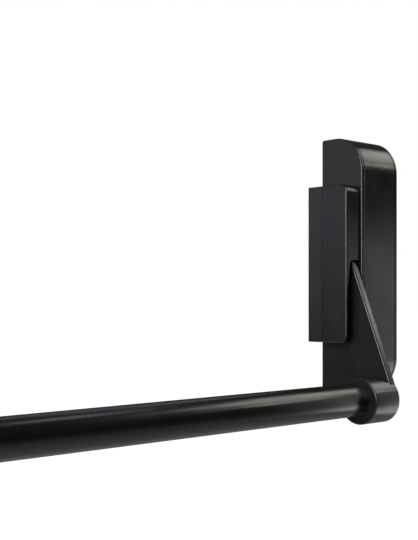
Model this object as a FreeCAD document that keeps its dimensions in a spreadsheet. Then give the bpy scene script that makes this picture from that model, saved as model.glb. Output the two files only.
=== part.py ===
"""Cross-bar exit device: a push bar on two levers that draws back the latch of a rim lock case.

Frame: X along the bar towards the latch edge of the door, Y into the door (the door face is Y = 0 and
the room is at negative Y), Z up. The origin is the centre of the lock base plate's mounting face.

Sizes are in millimetres and live in the spreadsheet. In the text below, "out" is the distance from the
door face into the room (-Y), "up" is Z, and "inboard" is the distance from a lever box's outer plane
towards the middle of the bar. Both lever boxes share their functions: side -1 is the lock side, where
inboard runs along -X, and side +1 is the hinge side, where it runs along +X.
"""
import FreeCAD, Part
import math
import os
import re
import Sketcher

SIZES = [
    # lock housing: base plate, two D-shaped cheeks and the strip wrapped over their front
    ("housing_width", 55.0, "over both cheeks"),
    ("housing_half_height", 124.0, "origin to top and bottom"),
    ("housing_depth", 50.0, "door face to front"),
    ("housing_corner", 33.0, "radius of the front corners, top and bottom"),
    ("cheek_back_corner", 2.0, "radius of the cheeks' corners at the door"),
    ("cheek_thickness", 3.0, ""),
    ("cheek_edge", 1.0, "bevel round the cheeks' outer rim"),
    ("plate_thickness", 3.0, "lock base plate"),
    ("strip_thickness", 2.0, ""),
    ("strip_gap", 1.0, "joint between strip and cheek"),
    ("strip_edge", 0.4, "rounding of the strip's long edges"),
    ("lug_length", 11.0, "cheek lugs, along X"),
    ("lug_height", 14.0, "cheek lugs, along Z"),
    ("lug_depth", 5.0, "cheek lugs, along Y"),
    ("lug_level", 84.0, "cheek lugs, above and below the origin"),
    ("mount_across", 34.0, "lock mounting holes, along X"),
    ("mount_height", 200.0, "lock mounting holes, along Z"),
    ("mount_hole", 2.75, "radius of every mounting hole"),
    ("block_width", 30.0, "cover blocks, along X"),
    ("block_depth", 12.0, "cover blocks, along Y"),
    ("block_height", 10.0, "cover blocks, along Z"),
    # lever boxes
    ("box_width", 20.0, "outer plane to inboard wall"),
    ("box_depth", 47.5, ""),
    ("box_top", 76.0, "above the origin"),
    ("box_drop", 74.0, "below the origin"),
    ("box_seam", 17.5, "base and cover meet this far out"),
    ("box_wall", 3.0, ""),
    ("box_front_wall", 2.5, ""),
    ("box_corner", 7.5, "front corners seen from the side"),
    ("box_edge", 1.2, "rounding of the inboard front rim"),
    ("box_gap", 0.8, "cover to outer plane"),
    ("seam_gap", 0.6, "groove round the seam, along Y"),
    ("seam_step", 1.0, "depth of that groove"),
    ("slot_lip", 4.6, "top of the slot, above the origin"),
    ("slot_width", 12.4, "slot's inboard edge at the lip"),
    ("slot_corner", 1.0, "cut corner between the lip and the flare"),
    ("slot_flare", 24.0, "height over which the slot widens to the wall"),
    ("slot_heel", 14.0, "depth of the base's bottom wall behind the lever"),
    ("post_height", 5.5, "screw posts in the corners of the base"),
    ("post_depth", 12.0, "door face to the posts' front"),
    ("post_reach", 30.0, "door face to the tip of the cover screw's lug"),
    ("joint_screw_reach", 5.0, "beyond the cheek or side plate"),
    ("box_mount_level", 61.5, "mounting holes, from the middle of the box"),
    ("side_plate_thickness", 3.0, "closes the hinge-side box"),
    # lever pivot
    ("pivot_out", 25.0, ""),
    ("pivot_up", 25.0, ""),
    ("half_swing", 6.0, "half of the bar's full swing, degrees"),
    ("spindle_radius", 6.0, ""),
    ("spindle_end_gap", 0.4, "spindle to the box's inboard wall"),
    ("bush_clearance", 0.08, "radial, bush on spindle"),
    ("bush_radius", 7.5, ""),
    ("bush_flange", 9.0, "radius"),
    ("flange_thickness", 1.0, ""),
    # lever bracket
    ("bracket_thickness", 2.5, "back plate, inboard ear and top flange"),
    ("outer_ear", 2.0, "thickness of the ear at the outer plane"),
    ("bracket_foot", 18.0, "bottom of the back plate, below the origin"),
    ("bracket_head", 56.5, "top face of the flange, above the origin"),
    ("ear_low", 10.0, "bottom of the ears, above the origin"),
    ("ear_high", 40.0, "top of the ears at the back plate, above the origin"),
    ("ear_shoulder_out", 30.0, "where the ears' top edge turns down"),
    ("ear_shoulder_up", 38.0, ""),
    ("ear_brow_out", 38.0, "where it turns down again"),
    ("ear_brow_up", 33.0, ""),
    ("ear_nose", 2.8, "ears beyond the rest pin"),
    ("ear_nose_rise", 4.0, "rest pin to the nose's top corner"),
    ("ear_chin_out", 36.0, "where the bottom edge turns up"),
    ("ear_chin_rise", 1.0, ""),
    ("flange_front", 17.0, "door face to the top flange's front"),
    ("flange_gap", 1.0, "top flange to the outer ear"),
    ("flange_setback", 4.0, "top flange to the box's inboard wall"),
    ("bracket_screw_low", 2.0, ""),
    ("bracket_screw_high", 46.0, ""),
    ("rest_pin_radius", 1.5, ""),
    ("rest_pin_out", 41.7, ""),
    ("rest_pin_up", 16.6, ""),
    ("bumper_radius", 4.0, ""),
    ("bumper_drop", 10.0, "bumper's axis below the origin"),
    ("bumper_tip", 14.7, "door face to the bumper's tip"),
    ("bumper_edge", 1.0, "rounding of the tip"),
    # lever arm and boss
    ("arm_start", 2.5, "outer plane to the arm"),
    ("arm_thickness", 7.0, ""),
    ("arm_edge", 1.2, "rounding of the arm's inboard rim"),
    ("arm_back_edge", 0.6, "rounding of its outer rim"),
    ("hub_radius", 11.0, ""),
    ("hub_length", 10.7, ""),
    ("heel_reach", 15.0, "pivot to the centre of the heel's nose"),
    ("heel_root", 4.0, "radius"),
    ("heel_nose", 3.0, "radius"),
    ("heel_width", 6.0, ""),
    ("bar_out", 72.0, ""),
    ("bar_down", 124.0, ""),
    ("bar_radius", 15.0, ""),
    ("bar_wall", 1.5, ""),
    ("bar_length", 720.0, ""),
    ("bar_end_gap", 1.0, "tube end to the bottom of its socket"),
    ("boss_radius", 21.5, ""),
    ("boss_forward", 2.5, "boss's centre in front of the bar's axis"),
    ("boss_drop", 1.0, "and below it"),
    ("boss_overlap", 1.2, "web's end radius is smaller than the boss by this"),
    ("hub_overlap", 0.4, "and smaller than the hub by this"),
    ("boss_length", 34.0, ""),
    ("boss_rim", 1.0, "rounding of the boss's rims"),
    ("socket_depth", 28.0, ""),
    ("socket_clearance", 0.1, "radial"),
    ("grub_radius", 3.0, ""),
    ("grub_socket", 1.74, "half the hexagon across its corners"),
    ("grub_length", 7.0, ""),
    ("grub_inboard", 26.0, ""),
    ("cross_pin_radius", 2.0, ""),
    ("cross_pin_length", 19.0, ""),
    # return plunger, spring and rod
    ("plunger_out", 10.0, ""),
    ("plunger_gap", 0.55, "heel's nose to the plunger"),
    ("plunger_radius", 4.2, ""),
    ("plunger_length", 10.0, ""),
    ("plunger_point", 1.2, "radius of the flat that meets the heel"),
    ("plunger_bore_depth", 6.0, ""),
    ("plunger_bore", 2.15, "radius"),
    ("rod_radius", 2.0, ""),
    ("rod_tip", 34.2, "above the origin"),
    ("rod_head", 4.0, "radius"),
    ("rod_head_height", 1.5, ""),
    ("spring_coil", 3.4, "mean radius"),
    ("spring_wire", 0.55, "radius"),
    ("spring_turns", 6.0, ""),
    # drive crank, hung from the lock spindle
    ("crank_thickness", 8.0, ""),
    ("crank_hub", 10.0, "radius"),
    ("crank_tip", 5.0, "radius"),
    ("crank_reach", 46.0, "pivot to the tip's centre"),
    ("finger_radius", 3.5, ""),
    ("finger_reach", 66.0, "pivot to the finger's end"),
    ("square_drive", 8.4, "across flats"),
    ("crank_inset", 19.5, "inboard cheek's outer face to the crank"),
    ("crank_bore", 2.0, "screw's bore beyond the crank"),
    ("crank_screw_head", 6.5, "radius"),
    # latch
    ("slider_level", -34.5, "middle of the slider plate"),
    ("slider_thickness", 3.0, ""),
    ("slider_left", -11.6, "X of the slider's inboard end"),
    ("slider_step", 7.0, "X where the slider narrows"),
    ("slider_back", 8.0, ""),
    ("slider_front", 38.0, ""),
    ("tongue_back", 12.5, ""),
    ("tongue_front", 31.5, ""),
    ("cam_slot_radius", 4.1, "half the width of the angled slot"),
    ("cam_slot_run_on", 0.6, "extra length at each end of the slot"),
    ("latch_start", 14.0, "X of the bolt's inner end"),
    ("latch_join", 24.0, "X of the slider's outer end, inside the bolt"),
    ("latch_throw", 12.0, "beyond the outboard cheek"),
    ("latch_back", 12.0, ""),
    ("latch_front", 32.0, ""),
    ("latch_half_height", 17.2, ""),
    ("latch_flat", 4.0, "flat left on the bolt's tip"),
    ("latch_edge", 1.0, "rounding of the tip's edges"),
    ("latch_slope", 11.0, "length of the bevel along X"),
    ("latch_clearance", 0.5, "bolt to guide and cheek"),
    ("latch_pin_inset", 5.0, "slider's outer end to the pin"),
    ("latch_pin_half", 11.0, "half the pin's length"),
    ("guide_start", 8.0, "X of the guide's inner end"),
    ("guide_wall", 4.0, ""),
    ("guide_foot", 9.0, "feet above and below, along Z"),
    ("guide_foot_depth", 4.0, ""),
    ("rail_left", -22.0, ""),
    ("rail_right", 6.0, ""),
    ("rail_top", -27.0, ""),
    ("rail_bottom", -46.0, ""),
    ("rail_front", 11.0, ""),
    ("rail_screw_margin", 0.5, "screw heads to the rail's bottom edge"),
    ("groove_back", 6.5, ""),
    ("groove_clearance", 0.35, "above and below the slider"),
    # screws
    ("pan_head_radius", 3.5, ""),
    ("pan_head_height", 2.4, ""),
    ("pan_shank", 2.0, "radius"),
    ("sunk_head_radius", 3.2, ""),
    ("sunk_shank", 1.5, "radius"),
    ("sunk_head_height", 1.7, ""),
    ("bracket_screw_short", 0.3, "bracket screws end this far inside the box's back"),
    ("post_screw_short", 0.5, "box cover screws end this far inside their post"),
    ("block_screw_short", 2.0, "lock cover screws end this far inside their block"),
]

doc = FreeCAD.newDocument("ExitDevice")
sheet = doc.addObject("Spreadsheet::Sheet", "Sizes")
for row, (alias, size, meaning) in enumerate(SIZES, start=1):
    sheet.set(f"A{row}", alias)
    sheet.set(f"B{row}", str(size))
    sheet.setAlias(f"B{row}", alias)
    sheet.set(f"C{row}", meaning)
doc.recompute()

NAMES = {alias for alias, size, meaning in SIZES}
NODES = []


# ---- formulas -------------------------------------------------------------------------------------

def formula(text):
    """The expression with every alias written as a reference to the sheet."""
    return re.sub(r"[a-z_]+", lambda word: "Sizes." + word.group() if word.group() in NAMES else word.group(),
                  str(text))


def number(text):
    """The present value of an expression, in millimetres or degrees."""
    return float(sheet.evalExpression(formula(text)))


LOCK_PLANE = "-housing_width / 2"
HINGE_PLANE = ("-(housing_width / 2 + 2 * arm_start + 2 * (boss_length - socket_depth)"
               " + 2 * bar_end_gap + bar_length)")
LOCK = ("lock", -1, LOCK_PLANE)
HINGE = ("hinge", 1, HINGE_PLANE)

# lever boxes
POST_LEVELS = ("box_top - box_wall - post_height / 2", "-box_drop + box_wall + post_height / 2")
JOINT_OUT = "post_depth * 2 / 3"
COVER_LUG_OUT = "post_reach * 4 / 5"
BOX_MOUNTS = ("(box_top - box_drop) / 2 + box_mount_level", "(box_top - box_drop) / 2 - box_mount_level")
BRACKET_MIDDLE = "(box_width - box_wall) / 2"
BRACKET_FRONT = "box_wall + bracket_thickness"
EAR_START = "box_width - box_wall - bracket_thickness"
HUB_MIDDLE = "arm_start + hub_length / 2"
BOSS_OUT = "bar_out + boss_forward"
BOSS_UP = "-bar_down - boss_drop"
PLUNGER_BOTTOM = "pivot_up - heel_reach * sin(half_swing) + heel_nose + plunger_gap"
PLUNGER_TOP = PLUNGER_BOTTOM + " + plunger_length"

# lock case
COVER_SCREW_OUT = "plate_thickness + block_depth / 2"
CRANK_X = LOCK_PLANE + " + crank_inset + crank_thickness / 2"
FINGER_OUT = "pivot_out + (pivot_up - (slider_level)) * tan(half_swing)"
LATCH_TRAVEL = "2 * (pivot_up - (slider_level)) * tan(half_swing)"
LATCH_MIDDLE = "(latch_back + latch_front) / 2"
GUIDE_MIDDLE = "(guide_start + housing_width / 2 - cheek_thickness) / 2"
GUIDE_FEET = ("slider_level - latch_half_height - latch_clearance - guide_wall - guide_foot / 2",
              "slider_level + latch_half_height + latch_clearance + guide_wall + guide_foot / 2")
RAIL_SCREWS = ("rail_left + pan_head_radius", "rail_left + pan_head_radius * 4")
RAIL_SCREW_UP = "rail_bottom + pan_head_radius + rail_screw_margin"


# ---- outlines drawn in a sketch -------------------------------------------------------------------

def fix(sketch, kind, geometry, point, text):
    """Hold one coordinate of a point to an expression."""
    index = sketch.addConstraint(Sketcher.Constraint(kind, geometry, point, number(text)))
    sketch.setExpression(f"Constraints[{index}]", formula(text))


def signed(sign, text):
    return f"-({text})" if sign < 0 else text


def polygon(*corners):
    """A closed outline through corners given as pairs of expressions."""
    def draw(sketch, signs):
        placed = [[signed(sign, text) for sign, text in zip(signs, corner)] for corner in corners]
        points = [FreeCAD.Vector(number(across), number(along), 0) for across, along in placed]
        count = len(points)
        lines = [sketch.addGeometry(Part.LineSegment(points[i], points[(i + 1) % count]), False)
                 for i in range(count)]
        for i, (across, along) in enumerate(placed):
            sketch.addConstraint(Sketcher.Constraint("Coincident", lines[i - 1], 2, lines[i], 1))
            fix(sketch, "DistanceX", lines[i], 1, across)
            fix(sketch, "DistanceY", lines[i], 1, along)
    return draw


def rectangle(across_start, across_stop, along_start, along_stop):
    return polygon((across_start, along_start), (across_stop, along_start),
                   (across_stop, along_stop), (across_start, along_stop))


def circle(across, along, radius):
    def draw(sketch, signs):
        centre = [signed(sign, text) for sign, text in zip(signs, (across, along))]
        middle = FreeCAD.Vector(number(centre[0]), number(centre[1]), 0)
        ring = sketch.addGeometry(Part.Circle(middle, FreeCAD.Vector(0, 0, 1), number(radius)), False)
        fix(sketch, "DistanceX", ring, 3, centre[0])
        fix(sketch, "DistanceY", ring, 3, centre[1])
        index = sketch.addConstraint(Sketcher.Constraint("Radius", ring, number(radius)))
        sketch.setExpression(f"Constraints[{index}]", formula(radius))
    return draw


def belt(first, first_radius, second, second_radius):
    """Two round ends joined by their outer tangents."""
    def draw(sketch, signs):
        ends = [[signed(sign, text) for sign, text in zip(signs, end)] for end in (first, second)]
        middles = [FreeCAD.Vector(number(end[0]), number(end[1]), 0) for end in ends]
        radii = [number(first_radius), number(second_radius)]
        run = middles[1] - middles[0]
        tilt = math.asin((radii[0] - radii[1]) / run.Length)
        heading = math.atan2(run.y, run.x)
        left = heading + math.pi / 2 - tilt
        right = heading - math.pi / 2 + tilt
        axis = FreeCAD.Vector(0, 0, 1)

        def touch(i, angle):
            return middles[i] + FreeCAD.Vector(math.cos(angle), math.sin(angle), 0) * radii[i]

        near = sketch.addGeometry(Part.ArcOfCircle(Part.Circle(middles[0], axis, radii[0]), left,
                                                   right + 2 * math.pi), False)
        far = sketch.addGeometry(Part.ArcOfCircle(Part.Circle(middles[1], axis, radii[1]), right,
                                                  left), False)
        upper = sketch.addGeometry(Part.LineSegment(touch(0, left), touch(1, left)), False)
        lower = sketch.addGeometry(Part.LineSegment(touch(0, right), touch(1, right)), False)
        for arc, end, text in ((near, ends[0], first_radius), (far, ends[1], second_radius)):
            fix(sketch, "DistanceX", arc, 3, end[0])
            fix(sketch, "DistanceY", arc, 3, end[1])
            index = sketch.addConstraint(Sketcher.Constraint("Radius", arc, number(text)))
            sketch.setExpression(f"Constraints[{index}]", formula(text))
        for arc, arc_end, line, line_end in ((near, 1, upper, 1), (near, 2, lower, 1),
                                             (far, 1, lower, 2), (far, 2, upper, 2)):
            sketch.addConstraint(Sketcher.Constraint("Tangent", arc, arc_end, line, line_end))
    return draw


def arch(depth, half_height, corner):
    """A D: flat at the door, two round corners at the front, symmetric about up = 0."""
    def draw(sketch, signs):
        front = number(signed(signs[0], depth))
        half = number(half_height)
        radius = number(corner)
        inner = front - math.copysign(radius, front)
        axis = FreeCAD.Vector(0, 0, 1)
        back_low = FreeCAD.Vector(0, -half, 0)
        back_high = FreeCAD.Vector(0, half, 0)
        back = sketch.addGeometry(Part.LineSegment(back_low, back_high), False)
        top = sketch.addGeometry(Part.LineSegment(back_high, FreeCAD.Vector(inner, half, 0)), False)
        face = sketch.addGeometry(Part.LineSegment(FreeCAD.Vector(front, half - radius, 0),
                                                   FreeCAD.Vector(front, radius - half, 0)), False)
        base = sketch.addGeometry(Part.LineSegment(FreeCAD.Vector(inner, -half, 0), back_low), False)
        upper_ring = Part.Circle(FreeCAD.Vector(inner, half - radius, 0), axis, radius)
        lower_ring = Part.Circle(FreeCAD.Vector(inner, radius - half, 0), axis, radius)
        quarter = math.pi / 2
        upper_start = 0 if front > 0 else quarter
        lower_start = 3 * quarter - upper_start
        upper_arc = Part.ArcOfCircle(upper_ring, upper_start, upper_start + quarter)
        lower_arc = Part.ArcOfCircle(lower_ring, lower_start, lower_start + quarter)
        upper = sketch.addGeometry(upper_arc, False)
        lower = sketch.addGeometry(lower_arc, False)
        sketch.addConstraint(Sketcher.Constraint("Coincident", back, 2, top, 1))
        sketch.addConstraint(Sketcher.Constraint("Coincident", base, 2, back, 1))
        # Arcs run anticlockwise, so which of their ends comes first depends on the front's side.
        first, last = (2, 1) if front > 0 else (1, 2)
        for arc, arc_end, line, line_end in ((upper, first, top, 2), (upper, last, face, 1),
                                             (lower, first, face, 2), (lower, last, base, 1)):
            sketch.addConstraint(Sketcher.Constraint("Tangent", arc, arc_end, line, line_end))
        sketch.addConstraint(Sketcher.Constraint("Horizontal", top))
        sketch.addConstraint(Sketcher.Constraint("Horizontal", base))
        sketch.addConstraint(Sketcher.Constraint("Vertical", face))
        for end, sign in ((1, -1), (2, 1)):
            fix(sketch, "DistanceX", back, end, "0")
            fix(sketch, "DistanceY", back, end, signed(sign, half_height))
        fix(sketch, "DistanceX", face, 1, signed(signs[0], depth))
        for arc in (upper, lower):
            index = sketch.addConstraint(Sketcher.Constraint("Radius", arc, radius))
            sketch.setExpression(f"Constraints[{index}]", formula(corner))
    return draw


# ---- PartDesign bodies ----------------------------------------------------------------------------

PLANES = {"X": "YZ_Plane", "Y": "XZ_Plane", "Z": "XY_Plane"}


def settle(feature):
    """Recompute, and stop at once if the feature could not be built."""
    doc.recompute()
    if not feature.isValid() or feature.Shape.isNull() or not feature.Shape.isValid():
        raise RuntimeError(f"{feature.Name} failed: {feature.State}")
    return feature


class Piece:
    """A sub-part made as a PartDesign body.

    Its local X axis points along +X; "inboard" sizes are multiplied by side, so that one set of
    features makes the lock-side and the hinge-side version. "out" sizes are laid along -Y.
    """

    def __init__(self, label, side=1, plane="0"):
        self.body = doc.addObject("PartDesign::Body", label)
        self.body.Label = label
        self.side = side
        self.body.setExpression(".Placement.Base.x", formula(plane))
        NODES.append(self.body)

    def sketch(self, axis, start, draw):
        """A sketch across the axis: X shows (out, up), Y shows (inboard, up), Z shows (inboard, out)."""
        sketch = self.body.newObject("Sketcher::SketchObject", "Sketch")
        plane = [item for item in self.body.Origin.OriginFeatures if item.Role == PLANES[axis]][0]
        sketch.AttachmentSupport = [(plane, "")]
        sketch.MapMode = "FlatFace"
        offset = signed(self.side, start) if axis == "X" else start
        sketch.setExpression(".AttachmentOffset.Base.z", formula(offset))
        signs = {"X": (-1, 1), "Y": (self.side, 1), "Z": (self.side, -1)}[axis]
        draw(sketch, signs)
        return sketch

    def runs_forward(self, axis):
        """Whether growing sizes run along the sketch plane's normal."""
        return axis != "X" or self.side > 0

    def pad(self, axis, start, stop, draw):
        sketch = self.sketch(axis, start, draw)
        feature = self.body.newObject("PartDesign::Pad", "Pad")
        feature.Profile = sketch
        feature.setExpression("Length", formula(f"({stop}) - ({start})"))
        feature.Reversed = not self.runs_forward(axis)
        return settle(feature)

    def cut(self, axis, start, stop, draw):
        before = self.body.Shape.Volume
        sketch = self.sketch(axis, start, draw)
        feature = self.body.newObject("PartDesign::Pocket", "Pocket")
        feature.Profile = sketch
        feature.setExpression("Length", formula(f"({stop}) - ({start})"))
        feature.Reversed = self.runs_forward(axis)
        settle(feature)
        if before - self.body.Shape.Volume < 1e-3:
            raise RuntimeError(f"{self.body.Label}: a cut along {axis} removes nothing")
        return feature

    def turn(self, across, out, up, draw):
        """Revolve an outline, flat on its axis, about a line along X through the given place."""
        sketch = self.body.newObject("Sketcher::SketchObject", "Sketch")
        plane = [item for item in self.body.Origin.OriginFeatures if item.Role == "XY_Plane"][0]
        sketch.AttachmentSupport = [(plane, "")]
        sketch.MapMode = "FlatFace"
        sketch.AttachmentOffset = FreeCAD.Placement(FreeCAD.Vector(0, 0, 0),
                                                    FreeCAD.Rotation(FreeCAD.Vector(0, 0, 1), 90))
        for axis, text in (("x", signed(self.side, across)), ("y", f"-({out})"), ("z", up)):
            sketch.setExpression(".AttachmentOffset.Base." + axis, formula(text))
        draw(sketch, (1, 1))
        feature = self.body.newObject("PartDesign::Revolution", "Revolution")
        feature.Profile = sketch
        feature.ReferenceAxis = (sketch, ["V_Axis"])
        feature.Angle = 360
        return settle(feature)

    def leaning_rod(self, across, out, up, lean, radius, length):
        """A cylinder that hangs from a place and leans towards the room by an angle in degrees."""
        rod = self.body.newObject("PartDesign::AdditiveCylinder", "Rod")
        rod.Placement = FreeCAD.Placement(FreeCAD.Vector(0, 0, 0),
                                          FreeCAD.Rotation(FreeCAD.Vector(1, 0, 0), 180 - number(lean)))
        for axis, text in (("x", across), ("y", f"-({out})"), ("z", up)):
            rod.setExpression(".Placement.Base." + axis, formula(text))
        rod.setExpression("Radius", formula(radius))
        rod.setExpression("Height", formula(length))
        return settle(rod)

    def dress(self, kind, size_name, size, test):
        """Fillet or chamfer every edge that passes the test."""
        base = self.body.Tip
        names = [f"Edge{i}" for i, edge in enumerate(base.Shape.Edges, start=1) if test(edge)]
        if not names:
            raise RuntimeError(f"{self.body.Label}: no edge to dress")
        feature = self.body.newObject(f"PartDesign::{kind}", kind)
        feature.Base = (base, names)
        feature.setExpression(size_name, formula(size))
        return settle(feature)

    def round_off(self, radius, test):
        return self.dress("Fillet", "Radius", radius, test)

    def bevel(self, size, test):
        return self.dress("Chamfer", "Size", size, test)


def lies_at(axis, text):
    """Test: the whole edge lies in the plane where the axis has this value."""
    place = number(text)

    def test(edge):
        box = edge.BoundBox
        low = getattr(box, axis + "Min")
        high = getattr(box, axis + "Max")
        return abs(low - place) < 0.02 and abs(high - place) < 0.02
    return test


def runs_along(axis):
    """Test: a straight edge parallel to the axis."""
    spans = {"X": "XLength", "Y": "YLength", "Z": "ZLength"}

    def test(edge):
        box = edge.BoundBox
        others = [getattr(box, span) for name, span in spans.items() if name != axis]
        return max(others) < 0.02 and getattr(box, spans[axis]) > 0.1
    return test


def both(*tests):
    return lambda edge: all(test(edge) for test in tests)


# ---- screws and other turned parts ----------------------------------------------------------------

def primitive(kind, name, **sizes):
    item = doc.addObject(kind, name)
    for key, text in sizes.items():
        item.setExpression(key, formula(text))
    return item


def join(kind, name, *items):
    """A Part::Cut, or a Part::MultiFuse of everything."""
    result = doc.addObject(kind, name)
    if kind == "Part::Cut":
        result.Base, result.Tool = items
    else:
        result.Shapes = list(items)
    return result


def screw(name, shank, length, head, head_height, sunk):
    """A screw along Z with its head's top at the local origin and a hexagon socket."""
    thread = primitive("Part::Cylinder", name + "Shank", Radius=shank, Height=length)
    thread.setExpression(".Placement.Base.z", formula(f"-({length})"))
    if sunk:
        cap = primitive("Part::Cone", name + "Head", Radius1=shank, Radius2=head, Height=head_height)
    else:
        cap = primitive("Part::Cylinder", name + "Head", Radius=head, Height=head_height)
    cap.setExpression(".Placement.Base.z", formula(f"-({head_height})"))
    whole = join("Part::MultiFuse", name + "Solid", thread, cap)
    socket = doc.addObject("Part::Prism", name + "Socket")
    socket.Polygon = 6
    socket.setExpression("Circumradius", formula(f"({shank}) * 0.8"))
    socket.setExpression("Height", formula(head_height))
    socket.setExpression(".Placement.Base.z", formula(f"-({head_height}) * 0.7"))
    return join("Part::Cut", name + "Screw", whole, socket)


FACING = {
    "out": FreeCAD.Rotation(FreeCAD.Vector(0, 0, 1), FreeCAD.Vector(0, -1, 0)),
    "up": FreeCAD.Rotation(),
    "down": FreeCAD.Rotation(FreeCAD.Vector(1, 0, 0), 180),
    "right": FreeCAD.Rotation(FreeCAD.Vector(0, 0, 1), FreeCAD.Vector(1, 0, 0)),
    "left": FreeCAD.Rotation(FreeCAD.Vector(0, 0, 1), FreeCAD.Vector(-1, 0, 0)),
}


def put(item, facing, across, out, up):
    """Stand an item at a place, its local Z turned to face a direction."""
    item.Placement = FreeCAD.Placement(FreeCAD.Vector(0, 0, 0), FACING[facing])
    item.setExpression(".Placement.Base.x", formula(across))
    item.setExpression(".Placement.Base.y", formula(f"-({out})"))
    item.setExpression(".Placement.Base.z", formula(up))


def group(label, items):
    """One node made of separate solids."""
    node = doc.addObject("Part::Compound", label)
    node.Label = label
    node.Links = items
    NODES.append(node)


def screw_group(label, make, places):
    """Identical screws, one at each (facing, across, out, up)."""
    items = []
    for i, (facing, across, out, up) in enumerate(places):
        item = make(f"{label}{i}")
        put(item, facing, across, out, up)
        items.append(item)
    if len(items) == 1:
        items[0].Label = label
        NODES.append(items[0])
    else:
        group(label, items)


def pan_screw(length):
    return lambda name: screw(name, "pan_shank", length, "pan_head_radius", "pan_head_height", False)


def sunk_screw(length):
    return lambda name: screw(name, "sunk_shank", length, "sunk_head_radius", "sunk_head_height", True)


def sunk_hole(piece, axis, face, depth, across, along, towards):
    """A countersunk clearance hole. The face is where the head sits; towards is +1 or -1 along the axis."""
    far = f"({face}) + ({depth})" if towards > 0 else f"({face}) - ({depth})"
    start, stop = (face, far) if towards > 0 else (far, face)
    piece.cut(axis, start, stop, circle(across, along, "sunk_shank"))
    value = number(face)
    if axis == "X":
        value = piece.side * value
    if axis == "Y":
        value = -value
    letter = axis
    radius = number("sunk_shank")

    def test(edge):
        ring = edge.Curve.TypeId == "Part::GeomCircle" and abs(edge.Curve.Radius - radius) < 1e-4
        low = getattr(edge.BoundBox, letter + "Min")
        high = getattr(edge.BoundBox, letter + "Max")
        return ring and abs(low - value) < 0.02 and abs(high - value) < 0.02
    piece.bevel("sunk_head_height", test)


# ---- lock housing ---------------------------------------------------------------------------------

def lock_base_plate():
    plate = Piece("lock_base_plate")
    half = "housing_width / 2 - cheek_thickness"
    tall = "housing_half_height - strip_thickness - strip_gap"
    plate.pad("Y", "0", "plate_thickness", rectangle(f"-({half})", half, f"-({tall})", tall))
    for across in ("-mount_across / 2", "mount_across / 2"):
        for up in ("-mount_height / 2", "mount_height / 2"):
            plate.cut("Y", "0", "plate_thickness", circle(across, up, "mount_hole"))


def lock_cheek(label, side, finish):
    """One D-shaped side cheek with two lugs that sit on the base plate; inboard 0 is its outer face."""
    cheek = Piece(label, side, f"{-side} * housing_width / 2")
    cheek.pad("X", "0", "cheek_thickness", arch("housing_depth", "housing_half_height", "housing_corner"))
    cheek.round_off("cheek_back_corner", both(runs_along("X"), lies_at("Y", "0")))
    cheek.round_off("cheek_edge", both(lies_at("X", "0"), lambda edge: edge.BoundBox.YMin < -2.5))
    for level in ("lug_level", "-lug_level"):
        cheek.pad("X", "cheek_thickness", "cheek_thickness + lug_length",
                  rectangle("plate_thickness", "plate_thickness + lug_depth",
                            f"{level} - lug_height / 2", f"{level} + lug_height / 2"))
        cheek.cut("Y", "plate_thickness", "plate_thickness + lug_depth",
                  circle("cheek_thickness + lug_length / 2", level, "pan_shank"))
    finish(cheek)


def inboard_cheek_holes(cheek):
    """Bush hole and the holes for the screws that hold the lever box."""
    cheek.cut("X", "0", "cheek_thickness", circle("pivot_out", "pivot_up", "bush_radius"))
    for level in POST_LEVELS:
        sunk_hole(cheek, "X", "cheek_thickness", "cheek_thickness", JOINT_OUT, level, -1)


def outboard_cheek_window(cheek):
    cheek.cut("X", "0", "cheek_thickness",
              rectangle("latch_back - latch_clearance", "latch_front + latch_clearance",
                        "slider_level - latch_half_height - latch_clearance",
                        "slider_level + latch_half_height + latch_clearance"))


def lock_front_strip():
    strip = Piece("lock_front_strip")
    half = "housing_width / 2 - cheek_thickness - strip_gap"
    strip.pad("X", f"-({half})", half, arch("housing_depth", "housing_half_height", "housing_corner"))
    strip.cut("X", f"-({half})", half,
              arch("housing_depth - strip_thickness", "housing_half_height - strip_thickness",
                   "housing_corner - strip_thickness"))
    rims = [lies_at("X", f"-({half})"), lies_at("X", half)]
    strip.round_off("strip_edge", lambda edge: any(rim(edge) for rim in rims) and on_outer_arch(edge))
    sunk_hole(strip, "Z", "housing_half_height", "strip_thickness", "0", COVER_SCREW_OUT, -1)
    sunk_hole(strip, "Z", "-housing_half_height", "strip_thickness", "0", COVER_SCREW_OUT, 1)


def on_outer_arch(edge):
    """Test: the edge touches the housing's outer outline rather than the strip's inner one."""
    box = edge.BoundBox
    half = number("housing_half_height")
    depth = number("housing_depth")
    outermost = max(abs(box.ZMin), abs(box.ZMax)) > half - 0.02 or box.YMin < 0.02 - depth
    return outermost and box.YLength + box.ZLength > 3


def lock_cover_blocks():
    """Two blocks on the base plate that take the strip's screws, one node."""
    items = []
    top = "housing_half_height - strip_thickness"
    for i, low in enumerate((f"{top} - block_height", f"-({top})")):
        block = primitive("Part::Box", f"CoverBlock{i}", Length="block_width", Width="block_depth",
                          Height="block_height")
        block.setExpression(".Placement.Base.x", formula("-block_width / 2"))
        block.setExpression(".Placement.Base.y", formula("-plate_thickness - block_depth"))
        block.setExpression(".Placement.Base.z", formula(low))
        hole = primitive("Part::Cylinder", f"CoverBlockHole{i}", Radius="sunk_shank", Height="block_height")
        hole.setExpression(".Placement.Base.y", formula(f"-({COVER_SCREW_OUT})"))
        hole.setExpression(".Placement.Base.z", formula(low))
        items.append(join("Part::Cut", f"DrilledBlock{i}", block, hole))
    group("lock_cover_blocks", items)


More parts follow.
